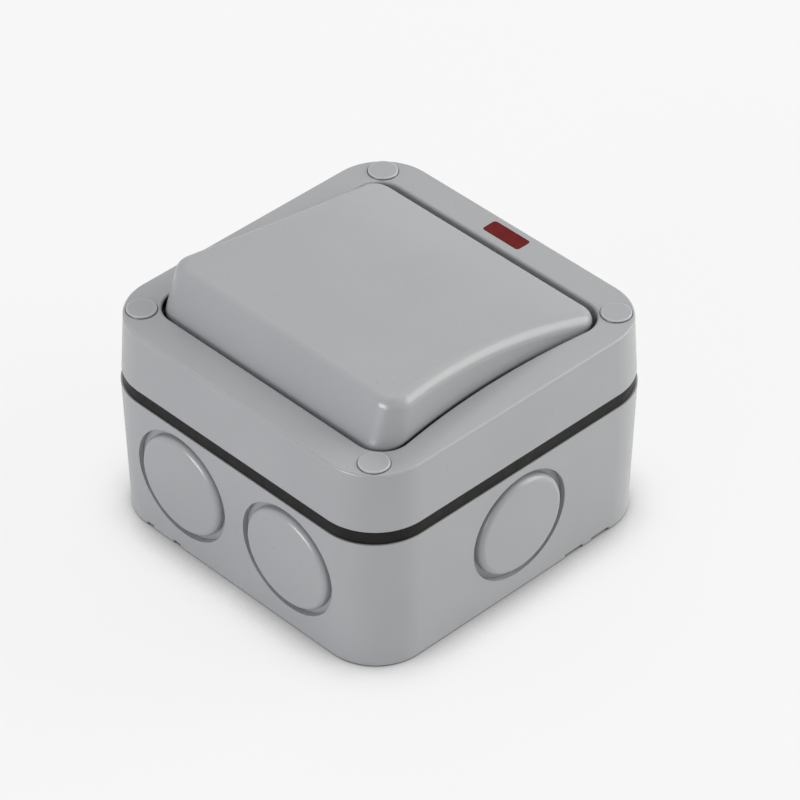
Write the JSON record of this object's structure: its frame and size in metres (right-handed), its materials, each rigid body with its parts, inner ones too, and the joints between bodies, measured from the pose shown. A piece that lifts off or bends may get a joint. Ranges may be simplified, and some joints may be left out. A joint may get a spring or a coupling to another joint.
{
  "type": "outdoor weatherproof switch",
  "caption": "Surface-mounted weatherproof rocker switch: square rounded back box with cable knock-outs, gasketed cover, broad curved rocker, corner screw caps and a red indicator window",
  "frame": {"origin": "centre of the flat back face that goes on the wall", "axes": "+Z out of the wall through the rocker, +Y towards the indicator window, which is up on a wall, +X to the right of somebody facing the switch"},
  "size_m": [0.0886, 0.0886, 0.0629],
  "materials": {
    "housing_grey": "light grey moulded plastic, satin sheen",
    "seal_black": "black rubber",
    "window_red": "dark red translucent plastic",
    "lamp_glass": "clear glass",
    "lead_sleeve": "white insulation",
    "module_white": "white moulded plastic",
    "steel": "plated steel",
    "brass": "plain brass",
    "contact_silver": "silver contact metal"
  },
  "bodies": {
    "root": {"back_box": "housing_grey", "front_cover": "housing_grey", "screw_caps": "housing_grey", "box_gasket": "seal_black", "screw_seals": "seal_black", "stem_boot": "seal_black", "indicator_window": "window_red", "indicator_lamp": "lamp_glass", "lamp_leads": "lead_sleeve", "lamp_resistor": "lead_sleeve", "module_base": "module_white", "module_cap": "module_white", "rocker_pins": "steel", "cover_screws": "steel", "case_screws": "steel", "module_screws": "steel", "terminal_screws": "steel", "earth_screw": "steel", "common_contact": "brass", "line_contact_1": "brass", "line_contact_2": "brass", "earth_terminal": "brass", "line_buttons": "contact_silver"},
    "rocker": {"rocker": "housing_grey"},
    "toggle": {"toggle": "module_white", "toggle_plunger": "module_white", "toggle_spring": "steel"},
    "blade": {"contact_blade": "brass", "blade_buttons": "contact_silver"}
  },
  "joints": [
    {"name": "rocker_tilt", "type": "hinge", "parent": "root", "child": "rocker", "pos_m": [0, 0.0002, 0.04655], "axis": [1, 0, 0], "range_deg": [0, 17.2]},
    {"name": "toggle_swing", "type": "hinge", "parent": "root", "child": "toggle", "pos_m": [0, 0.0002, 0.02875], "axis": [1, 0, 0], "range_deg": [-17.2, 0], "deforming": ["stem_boot"]},
    {"name": "blade_rock", "type": "hinge", "parent": "root", "child": "blade", "pos_m": [0, 0.0002, 0.01513], "axis": [1, 0, 0], "range_deg": [0, 12]}
  ],
  "couplings": [
    {"joint": "toggle_swing", "follows": "rocker_tilt", "ratio": -1},
    {"joint": "blade_rock", "follows": "rocker_tilt", "ratio": 0.69767}
  ]
}
